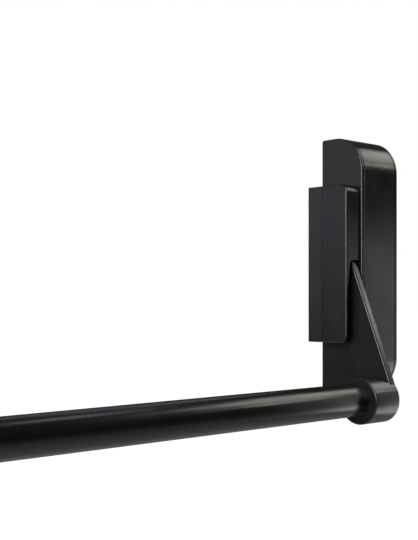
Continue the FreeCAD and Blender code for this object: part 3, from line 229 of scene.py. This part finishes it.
def painted(name, paint, gloss, peel_depth, wear=0.35, dust=0.10, peel_size=420.0):
    """Powder coat: gloss is the roughness of the clean coat, peel_depth its ripple in metres."""
    material, wires, shader = start_finish(name)
    coat = add_group(wires, powder, Peel_size=peel_size)
    edge = add_group(wires, edges)["Mask"]
    used = add_group(wires, traces)
    deep = tuple(channel * (1 - TOOTH_CONTRAST) for channel in paint) + (1,)
    light = tuple(channel * (1 + TOOTH_CONTRAST) for channel in paint) + (1,)
    clean = wires.blend(coat["Tooth"], deep, light)
    worn = wires.blend(wires.math("MULTIPLY", edge, wear), clean, WORN_PAINT)
    dusty = wires.blend(wires.math("MULTIPLY", used["Dust"], dust), worn, DUST_GREY)
    wires.tree.links.new(dusty, shader.inputs["Base Color"])
    cloudy = wires.ramp(coat["Cloud"], 0.0, 1.0, gloss - 0.02, gloss + 0.03)
    gritty = wires.math("ADD", cloudy, wires.math("MULTIPLY", coat["Tooth"], 0.03))
    greasy = wires.math("SUBTRACT", gritty, wires.math("MULTIPLY", used["Smudge"], 0.035))
    rubbed = wires.math("SUBTRACT", greasy, wires.math("MULTIPLY", edge, 0.05))
    final = wires.math("ADD", rubbed, wires.math("MULTIPLY", used["Dust"], 0.12), clamp=True)
    wires.tree.links.new(final, shader.inputs["Roughness"])
    bump = wires.add("Bump", {"Strength": 1.0, "Distance": peel_depth, "Height": coat["Height"]})
    wires.tree.links.new(bump.outputs["Normal"], shader.inputs["Normal"])
    shader.inputs["IOR"].default_value = POLYMER_IOR
    return material


finishes = {
    "housing_black": painted("housing_black", (0.0060, 0.0058, 0.0056), 0.24, 6 * MICRON),
    "box_base_black": painted("box_base_black", (0.0080, 0.0080, 0.0085), 0.30, 8 * MICRON),
    "box_cover_black": painted("box_cover_black", (0.0060, 0.0060, 0.0064), 0.26, 6 * MICRON),
    "lever_black": painted("lever_black", (0.0055, 0.0054, 0.0050), 0.24, 5 * MICRON, wear=0.5),
    "bar_black": painted("bar_black", (0.0036, 0.0035, 0.0034), 0.22, 2 * MICRON, wear=0.5,
                         peel_size=300.0),
}
print("painted finishes:", ", ".join(finishes))

# %% [markdown]
# The inner works are bare or plated metal. Here the lines of the drawn stock run along the part, the
# plating is blotchy, and edges are brighter where parts have rubbed. A metal's colour is
# its reflection, so the colour is light and the roughness does the rest.
# %% Metal finishes
LINE_DEPTH = 4 * MICRON
WORN_EDGE = 0.6 * MM


def metal(name, colour, stain, roughness, along):
    """Bare or plated metal: stain is the colour of its blotches, along the stretch of its lines."""
    material, wires, shader = start_finish(name)
    lines = add_group(wires, drawn, Along_X=along[0], Along_Y=along[1], Along_Z=along[2])
    edge = add_group(wires, edges, Width=WORN_EDGE)["Mask"]
    mottled = wires.blend(wires.math("MULTIPLY", lines["Blotch"], 0.45), colour + (1,), stain + (1,))
    bright = tuple(min(1.0, channel * 1.3) for channel in colour) + (1,)
    rubbed = wires.blend(wires.math("MULTIPLY", edge, 0.6), mottled, bright)
    wires.tree.links.new(rubbed, shader.inputs["Base Color"])
    streaky = wires.ramp(lines["Line"], 0.0, 1.0, roughness - 0.06, roughness + 0.08)
    final = wires.math("SUBTRACT", streaky, wires.math("MULTIPLY", edge, 0.06), clamp=True)
    wires.tree.links.new(final, shader.inputs["Roughness"])
    bump = wires.add("Bump", {"Strength": 0.7, "Distance": LINE_DEPTH, "Height": lines["Line"]})
    wires.tree.links.new(bump.outputs["Normal"], shader.inputs["Normal"])
    shader.inputs["Metallic"].default_value = 1.0
    return material


finishes.update({
    "plated_steel": metal("plated_steel", (0.60, 0.59, 0.56), (0.42, 0.43, 0.44), 0.36, along=(30, 30, 1)),
    "ground_steel": metal("ground_steel", (0.56, 0.56, 0.55), (0.46, 0.45, 0.44), 0.24, along=(1, 40, 40)),
    "zinc_screws": metal("zinc_screws", (0.62, 0.62, 0.60), (0.50, 0.52, 0.56), 0.30, along=(8, 8, 8)),
    "black_screws": metal("black_screws", (0.030, 0.029, 0.028), (0.050, 0.047, 0.044), 0.36,
                          along=(8, 8, 8)),
    "latch_nickel": metal("latch_nickel", (0.66, 0.63, 0.58), (0.52, 0.50, 0.46), 0.22, along=(1, 25, 25)),
    "spring_steel": metal("spring_steel", (0.40, 0.40, 0.41), (0.28, 0.27, 0.27), 0.32, along=(12, 12, 30)),
    "bush_bronze": metal("bush_bronze", (0.55, 0.36, 0.17), (0.38, 0.24, 0.12), 0.42, along=(20, 6, 6)),
})
print("finishes so far:", len(finishes))

# %% [markdown]
# Two moulded parts are left: the rubber buffer that each lever swings towards, and the plastic
# rail that carries the latch slider. Rubber is matt with a pressed grain and a grey bloom. The rail
# is milky: light goes a little way in, which subsurface scattering imitates.
# %% Rubber and plastic finishes
MILKY_REACH = 2 * MM


def moulded(name, colour, bloom, roughness, grain_size, grain_depth, milky=0.0):
    """Rubber or plastic with a moulded grain; bloom is the colour of its paler patches."""
    material, wires, shader = start_finish(name)
    coat = add_group(wires, powder, Peel_size=grain_size)
    used = add_group(wires, traces, Smudge_size=90.0)
    patchy = wires.blend(wires.math("MULTIPLY", coat["Cloud"], 0.5), colour + (1,), bloom + (1,))
    dusty = wires.blend(wires.math("MULTIPLY", used["Dust"], 0.25), patchy, DUST_GREY)
    wires.tree.links.new(dusty, shader.inputs["Base Color"])
    final = wires.ramp(coat["Tooth"], 0.0, 1.0, roughness - 0.06, roughness + 0.06)
    wires.tree.links.new(final, shader.inputs["Roughness"])
    bump = wires.add("Bump", {"Strength": 1.0, "Distance": grain_depth, "Height": coat["Height"]})
    wires.tree.links.new(bump.outputs["Normal"], shader.inputs["Normal"])
    shader.inputs["Subsurface Weight"].default_value = milky
    shader.inputs["Subsurface Scale"].default_value = MILKY_REACH
    return material


finishes["bumper_rubber"] = moulded("bumper_rubber", (0.018, 0.018, 0.018), (0.050, 0.049, 0.047), 0.72,
                                    700.0, 50 * MICRON)
finishes["rail_acetal"] = moulded("rail_acetal", (0.62, 0.60, 0.55), (0.70, 0.68, 0.63), 0.42,
                                  900.0, 10 * MICRON, milky=0.25)
for name, node in nodes.items():
    for holder in node.material_slots:
        holder.material = finishes[slot_of[name]]
print("finishes:", len(finishes), "put on", len(nodes), "CAD nodes")

# %% [markdown]
# The worked pieces are surfaces: a grid of points, worked out as whole arrays, becomes
# a net of four-sided faces. A grid may close on itself in either direction, as a tube or a
# ring does. Points that fall together at a pole are merged afterwards, and faces are
# turned outwards.
# %% From grids of points to a piece
WELD_DISTANCE = 2 * MICRON


def net(rows, columns, rows_closed, columns_closed, start):
    """Faces between neighbours: each takes the point, the next in its row, and the two beyond."""
    down = np.arange(rows if rows_closed else rows - 1)[:, None]
    across = np.arange(columns if columns_closed else columns - 1)[None, :]
    below, beside = (down + 1) % rows, (across + 1) % columns
    corners = [down * columns + across, down * columns + beside, below * columns + beside,
               below * columns + across]
    return start + np.stack([corner.reshape(-1) for corner in np.broadcast_arrays(*corners)], axis=1)


def make_piece(name, grids, body, slot, sharp_degrees=38.0):
    """One piece from grids given as (points, rows_closed, columns_closed), smooth but for sharp bends."""
    faces, start = [], 0
    for points, rows_closed, columns_closed in grids:
        faces.append(net(points.shape[0], points.shape[1], rows_closed, columns_closed, start))
        start += points.shape[0] * points.shape[1]
    mesh = bpy.data.meshes.new(name)
    points = np.concatenate([grid[0].reshape(-1, 3) for grid in grids])
    mesh.from_pydata(points.tolist(), [], np.concatenate(faces).tolist())
    work = bmesh.new()
    work.from_mesh(mesh)
    bmesh.ops.remove_doubles(work, verts=work.verts, dist=WELD_DISTANCE)
    bmesh.ops.recalc_face_normals(work, faces=work.faces)
    open_edges = sum(1 for edge in work.edges if len(edge.link_faces) != 2)
    work.to_mesh(mesh)
    work.free()
    mesh.shade_smooth()
    mesh.set_sharp_from_angle(angle=math.radians(sharp_degrees))
    mesh.materials.append(finishes[slot])
    piece = bpy.data.objects.new(name, mesh)
    bpy.context.scene.collection.objects.link(piece)
    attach(piece, body)
    print(f"{name}: {len(mesh.polygons)} faces, {open_edges} open edges, on {body}")
    return piece


# %% [markdown]
# Most small hardware is turned on a lathe, so its surface is a profile carried round an axis. Sharp
# profile corners look wrong, because real ones are broken with a file or by tumbling. Each
# corner here becomes a true arc: a rational curve whose middle weight is the cosine of half the turn.
# %% Profiles with rounded corners, and the lathe
def rounded(corners, closed=False, steps=6):
    """Profile through (along, radius, rounding) corners, each replaced by an arc of that radius."""
    spots = np.array([corner[:2] for corner in corners], float)
    pieces = []
    for i, (along, radius, rounding) in enumerate(corners):
        if rounding == 0 or (not closed and i in (0, len(corners) - 1)):
            pieces.append(spots[i][None, :])
            continue
        back, ahead = spots[i - 1] - spots[i], spots[(i + 1) % len(spots)] - spots[i]
        back, ahead = back / np.linalg.norm(back), ahead / np.linalg.norm(ahead)
        half_turn = (math.pi - math.acos(np.clip(back @ ahead, -1, 1))) / 2
        reach, weight = rounding * math.tan(half_turn), math.cos(half_turn)
        t = np.linspace(0, 1, steps)[:, None]
        shares = [(1 - t) ** 2, 2 * t * (1 - t) * weight, t ** 2]
        places = [spots[i] + back * reach, spots[i], spots[i] + ahead * reach]
        pieces.append(sum(s * p for s, p in zip(shares, places)) / sum(shares))
    return np.concatenate(pieces)


def turned(profile, foot, axis, side, columns=48):
    """Lathe: a profile point (along, radius) goes to foot + along * axis + radius * (turned side)."""
    axis, side = np.array(axis, float), np.array(side, float)
    other = np.cross(axis, side)
    turn = np.linspace(0, 2 * np.pi, columns, endpoint=False)
    spokes = np.cos(turn)[:, None] * side + np.sin(turn)[:, None] * other
    along = profile[:, 0][:, None, None] * axis
    return np.array(foot, float) + along + profile[:, 1][:, None, None] * spokes[None, :, :]


# %% [markdown]
# The push bar is a coated steel tube, 30 mm across with a wall of 1.5 mm. Its cut ends are deburred.
# The profile is a closed loop in the wall's section, outside and inside, with all four corners
# rounded, and the lathe carries it round the bar's axis.
# %% The push bar
BAR_WALL = 1.5 * MM
OUTER_BREAK = 0.5 * MM
INNER_BREAK = 0.3 * MM
low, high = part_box("bar_tube")
bar_radius = (high.z - low.z) / 2
bar_axis = ((low.y + high.y) / 2, (low.z + high.z) / 2)
outside = [(low.x, bar_radius, OUTER_BREAK), (high.x, bar_radius, OUTER_BREAK)]
inside = [(high.x, bar_radius - BAR_WALL, INNER_BREAK), (low.x, bar_radius - BAR_WALL, INNER_BREAK)]
wall = rounded(outside + inside, closed=True)
bar = make_piece("push_bar_tube", [(turned(wall, (0, *bar_axis), (1, 0, 0), (0, 1, 0), 128), True, True)],
                 "push_bar", "bar_black")
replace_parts(bar, "bar_tube")

# %% [markdown]
# A return spring sits between each plunger and the bracket above it. A spring wound for a flat seat
# has a closed coil at each end, so its rise is slow at first, then steady, then slow again. The
# wire is a small ring carried along that helix, and it shrinks to a point at both cut ends.
# %% The return springs
SPRING_TURNS = 7.6
SPRING_WIRE = 0.55 * MM
END_COIL_SHARE = 0.11
END_COIL_RISE = 0.12


def wound(centre, bottom, top, coil, wire, turns, steps=360, ring=10):
    """Ring of wire along a helix; its height is a small steady rise plus a ramp between the end coils."""
    t = np.linspace(0, 1, steps)
    angle = 2 * np.pi * turns * t
    climb = np.clip((t - END_COIL_SHARE) / (1 - 2 * END_COIL_SHARE), 0, 1)
    rise = END_COIL_RISE * t + (1 - END_COIL_RISE) * climb
    level = bottom + wire + (top - bottom - 2 * wire) * rise
    out = np.stack([np.cos(angle), np.sin(angle), np.zeros(steps)], axis=1)
    middle = np.array([centre[0], centre[1], 0.0]) + coil * out
    middle[:, 2] = level
    heading = np.gradient(middle, axis=0)
    heading /= np.linalg.norm(heading, axis=1)[:, None]
    over = np.cross(heading, out)
    turn = np.linspace(0, 2 * np.pi, ring, endpoint=False)
    outward = np.cos(turn)[None, :, None] * out[:, None, :]
    upward = np.sin(turn)[None, :, None] * over[:, None, :]
    around = wire * (outward + upward)
    point = 0 * around[:1]
    rings = np.concatenate([point, around[1:2], around[1:-1], around[-2:-1], point])
    return np.concatenate([middle[:1], middle, middle[-1:]])[:, None, :] + rings


for prefix in ("lock", "hinge"):
    low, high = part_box(f"{prefix}_return_spring")
    reach = (high.x - low.x) / 2
    centre = ((low.x + high.x) / 2, (low.y + high.y) / 2)
    helix = wound(centre, low.z, high.z, reach - SPRING_WIRE, SPRING_WIRE, SPRING_TURNS)
    spring = make_piece(f"{prefix}_coil_spring", [(helix, False, True)], "frame", "spring_steel")
    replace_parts(spring, f"{prefix}_return_spring")
    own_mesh(spring)


# %% [markdown]
# The rubber buffers stand on the door side and soften the stop when the bar is pushed hard. A
# moulded buffer has a round nose, and shallow grooves that let it squash. A few more corners in
# the lathe profile give both.
# %% The rubber buffers
GROOVE_DEPTH = 0.6 * MM
GROOVE_STARTS = (0.30, 0.60)
GROOVE_STEP = 0.06
CORNER = 0.3 * MM
NOSE = 1.6 * MM
for prefix in ("lock", "hinge"):
    low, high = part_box(f"{prefix}_bumper")
    radius = (high.x - low.x) / 2
    length = high.y - low.y
    bed = radius - GROOVE_DEPTH
    sides = [(0, 0, 0), (0, radius, CORNER)]
    for start in GROOVE_STARTS:
        for step, reach in enumerate((radius, bed, bed, radius)):
            sides.append((length * (start + step * GROOVE_STEP), reach, CORNER))
    sides += [(length, radius, NOSE), (length, 0, 0)]
    foot = ((low.x + high.x) / 2, high.y, (low.z + high.z) / 2)
    buffer = turned(rounded(sides, steps=5), foot, (0, -1, 0), (1, 0, 0), 40)
    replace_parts(make_piece(f"{prefix}_buffer", [(buffer, False, True)], "frame", "bumper_rubber"),
                f"{prefix}_bumper")

# %% [markdown]
# The screws that show are countersunk, with a six-lobed recess. The head's top is one surface: height
# depends on radius and angle, and drops where the radius is inside a wavy limit. The cone
# and the thread follow in the same grid, and the thread is a ridge whose height also
# depends on angle, so it climbs like a real one.
# %% Screws with a six-lobed recess
THREAD_PITCH = 0.7 * MM
THREAD_DEPTH = 0.16 * MM
ROWS_PER_PITCH = 8
TIP_LENGTH = 0.4 * MM
TIP_SHARE = 0.7
LOBES = 6
RECESS_SHARE = 0.44
LOBE_SHARE = 0.055
RECESS_DEPTH_SHARE = 0.60
RIM_SHARE = 0.07


def lobed_screw(head, facing, side, head_radius, head_height, shank, length, columns=72):
    """Grid from the head's centre out, down the cone and along the thread to a closed tip."""
    facing, side = np.array(facing, float), np.array(side, float)
    turn = np.linspace(0, 2 * np.pi, columns, endpoint=False)[None, :]
    rim_round = RIM_SHARE * head_radius
    lobes = head_radius * (RECESS_SHARE + LOBE_SHARE * np.cos(LOBES * turn))
    top = np.linspace(0, 1 - RIM_SHARE, 30)[:, None] * head_radius
    inside = np.clip((lobes - top) / rim_round + 0.5, 0, 1)
    top_level = -RECESS_DEPTH_SHARE * head_height * inside * inside * (3 - 2 * inside)
    rim_turn = np.linspace(0, np.pi / 2, 5)[1:, None]
    rim = head_radius - rim_round * (1 - np.sin(rim_turn))
    rim_level = -rim_round * (1 - np.cos(rim_turn))
    down = np.linspace(0, 1, 6)[1:, None]
    cone = head_radius + (shank - head_radius) * down
    cone_level = -rim_round - (head_height - rim_round) * down
    rows = int(length / THREAD_PITCH * ROWS_PER_PITCH)
    run = np.linspace(head_height, length - TIP_LENGTH, rows)[1:, None]
    ridge = np.abs(((run / THREAD_PITCH + turn / (2 * np.pi)) % 1) * 2 - 1)
    thread = shank - THREAD_DEPTH * ridge
    tip_radius = np.array([[shank * TIP_SHARE], [0.0]])
    tip_level = np.array([[-length], [-length]])
    radius = np.concatenate([part + 0 * turn for part in (top, rim, cone, thread, tip_radius)])
    level = np.concatenate([part + 0 * turn for part in (top_level, rim_level, cone_level, -run, tip_level)])
    other = np.cross(facing, side)
    spokes = np.cos(turn)[..., None] * side + np.sin(turn)[..., None] * other
    return np.array(head, float) + radius[..., None] * spokes + level[..., None] * facing


def replace_screws(node, heads, facing, side, length):
    """Puts lobed screws in place of a CAD screw node; heads are the centres of the head tops."""
    grids = []
    for head, way in zip(heads, facing):
        grids.append((lobed_screw(head, way, side, SUNK_HEAD, SUNK_HEIGHT, SUNK_SHANK, length), False, True))
    piece = make_piece(node + "_lobed", grids, "frame", slot_of[node], sharp_degrees=30.0)
    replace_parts(piece, node)


SUNK_HEIGHT = 1.7 * MM
SUNK_SHANK = 1.5 * MM
BLOCK_SCREW_LENGTH = 10 * MM
low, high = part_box("lock_cover_screw")
SUNK_HEAD = (high.x - low.x) / 2
up, down = (0, 0, 1), (0, 0, -1)
for prefix in ("lock", "hinge"):
    low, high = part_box(f"{prefix}_cover_screw")
    middle = (low + high) / 2
    replace_screws(f"{prefix}_cover_screw", [(middle.x, middle.y, high.z)], [up], (1, 0, 0), high.z - low.z)
low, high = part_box("lock_cover_screws")
middle = (low + high) / 2
replace_screws("lock_cover_screws", [(middle.x, middle.y, high.z), (middle.x, middle.y, low.z)], [up, down],
               (1, 0, 0), BLOCK_SCREW_LENGTH)
low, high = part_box("hinge_joint_screws")
middle = (low + high) / 2
levels = (low.z + SUNK_HEAD, high.z - SUNK_HEAD)
replace_screws("hinge_joint_screws", [(low.x, middle.y, level) for level in levels], [(-1, 0, 0)] * 2,
               (0, 1, 0), high.x - low.x)

# %% [markdown]
# The device hangs on a door at waist height, so the floor is well below it. It is a plain plaster
# white with a faint mottle. A catalogue shows its goods on pure white, so the floor glows just
# enough to look white to the eye, and Light Path leaves it an ordinary pale floor for the light
# that bounces off it.
# %% The floor
FLOOR_BELOW = 0.62
FLOOR_HALF = 40.0
low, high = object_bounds()
floor_level = low.z - FLOOR_BELOW
corners = [(-FLOOR_HALF, -FLOOR_HALF, floor_level), (FLOOR_HALF, -FLOOR_HALF, floor_level),
           (FLOOR_HALF, FLOOR_HALF, floor_level), (-FLOOR_HALF, FLOOR_HALF, floor_level)]
floor_mesh = bpy.data.meshes.new("floor")
floor_mesh.from_pydata(corners, [], [(0, 1, 2, 3)])
floor = bpy.data.objects.new("floor", floor_mesh)
bpy.context.scene.collection.objects.link(floor)
material, wires, shader = start_finish("plaster")
mottle = wires.ramp(wires.noise(wires.place(), 3.0, 4.0), 0.3, 0.7)
wires.tree.links.new(wires.blend(mottle, (0.78, 0.78, 0.77, 1), (0.84, 0.84, 0.83, 1)),
                     shader.inputs["Base Color"])
shader.inputs["Roughness"].default_value = 0.9
eye_ray = wires.add("LightPath").outputs["Is Camera Ray"]
shader.inputs["Emission Color"].default_value = (1, 1, 1, 1)
wires.tree.links.new(eye_ray, shader.inputs["Emission Strength"])
floor_mesh.materials.append(material)
floor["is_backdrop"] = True
print("floor at", round(floor_level, 3), "m")

# %% [markdown]
# A black object shows its surroundings more than itself, so the light is set by what each face
# mirrors. A key panel in front and to the right draws the highlight on the top curve, the lever
# and the bar. The small arm panel beside it lights the slanted fronts of the levers. The crown
# and high panels are for the left end of the bar, whose top mirrors what hangs overhead. The
# edge panel, far out on the left, gives the thin bright edge lines. A large cool panel gives the
# grey of the side faces, a card on the right lifts the fronts, and a low panel lifts the
# undersides.
# %% Light panels
AIM = Vector((0.0, -0.03, 0.0))


def panel(name, azimuth, elevation, distance, width, height, brightness, colour):
    """A rectangular light that faces the lock case; brightness is its radiance."""
    a, e = math.radians(azimuth), math.radians(elevation)
    way = Vector((math.cos(e) * math.cos(a), math.cos(e) * math.sin(a), math.sin(e)))
    light = bpy.data.lights.new(name, "AREA")
    light.shape = "RECTANGLE"
    light.size, light.size_y = width, height
    light.energy = brightness * math.pi * width * height
    light.color = colour
    lamp = bpy.data.objects.new(name, light)
    lamp.location = AIM + way * distance
    lamp.rotation_euler = (-way).to_track_quat("-Z", "Y").to_euler()
    lamp.visible_camera = False
    bpy.context.scene.collection.objects.link(lamp)
    print(f"{name}: {light.energy:.0f} W at azimuth {azimuth}, elevation {elevation}")
    return lamp


panel("key_panel", -16, 35, 1.9, 1.0, 0.6, 2.9, (1.0, 0.98, 0.92))
panel("arm_panel", -35, 23, 1.6, 0.20, 0.16, 8.0, (1.0, 0.98, 0.93))
panel("crown_panel", 50, 40, 1.8, 1.0, 0.8, 0.42, (0.86, 0.91, 1.0))
panel("high_panel", -8, 64, 1.8, 0.5, 0.35, 2.4, (0.86, 0.91, 1.0))
panel("edge_panel", -172, 12, 1.9, 1.2, 0.95, 14.0, (0.90, 0.93, 1.0))
panel("left_panel", 140, 14, 2.2, 2.2, 1.1, 0.53, (0.90, 0.93, 1.0))
panel("card_panel", -35, -5, 0.55, 0.20, 0.24, 0.95, (1.0, 0.98, 0.95))
panel("low_panel", -32, -42, 0.30, 0.17, 0.17, 2.2, (1.0, 0.98, 0.95))

# %% [markdown]
# The room itself is almost dark for the light, and plain white to the eye, as in a white
# studio sweep that runs on behind the object.
# %% The room
world = bpy.data.worlds.new("studio")
world.use_nodes = True
bpy.context.scene.world = world
room = Wires(world.node_tree)
backdrop = world.node_tree.nodes["Background"]
backdrop.inputs["Color"].default_value = (1, 1, 1, 1)
backdrop.inputs["Strength"].default_value = 1.0
dim = room.add("Background", {"Color": (0.95, 0.97, 1.0, 1), "Strength": 0.05})
seen = room.add("LightPath").outputs["Is Camera Ray"]
mixed = room.add("MixShader", {0: seen, 1: dim.outputs[0], 2: backdrop.outputs[0]})
world.node_tree.links.new(mixed.outputs[0], world.node_tree.nodes["World Output"].inputs["Surface"])
bpy.context.scene.view_settings.view_transform = "Standard"

# %% [markdown]
# The camera looks along the bar towards the lock case from the far end, level, at the height of the
# lever. A long lens keeps upright edges upright, and a small shift puts the object low in
# the frame without tilting the camera.
# %% The camera
EYE = Vector((-0.7543, -0.6321, -0.0315))
LOOK = Vector((0.6733, 0.7394, 0.0))
camera_data = bpy.data.cameras.new("camera")
camera_data.lens = 64.49
camera_data.sensor_width = 36.0
camera_data.shift_y = 0.052
camera_data.clip_start, camera_data.clip_end = 0.01, 50.0
camera = bpy.data.objects.new("camera", camera_data)
camera.location = EYE
camera.rotation_euler = LOOK.to_track_quat("-Z", "Y").to_euler()
bpy.context.scene.collection.objects.link(camera)
bpy.context.scene.camera = camera

# %% [markdown]
# Last, the visual model's size is compared with the CAD model's.
# %% Compare sizes and finish
visual_box = [list(corner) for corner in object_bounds()]
grown = [round((b - a) / MM, 2) for side in (0, 1) for a, b in zip(cad_box[side], visual_box[side])]
print("visual minus CAD in mm, low then high corner:", grown)
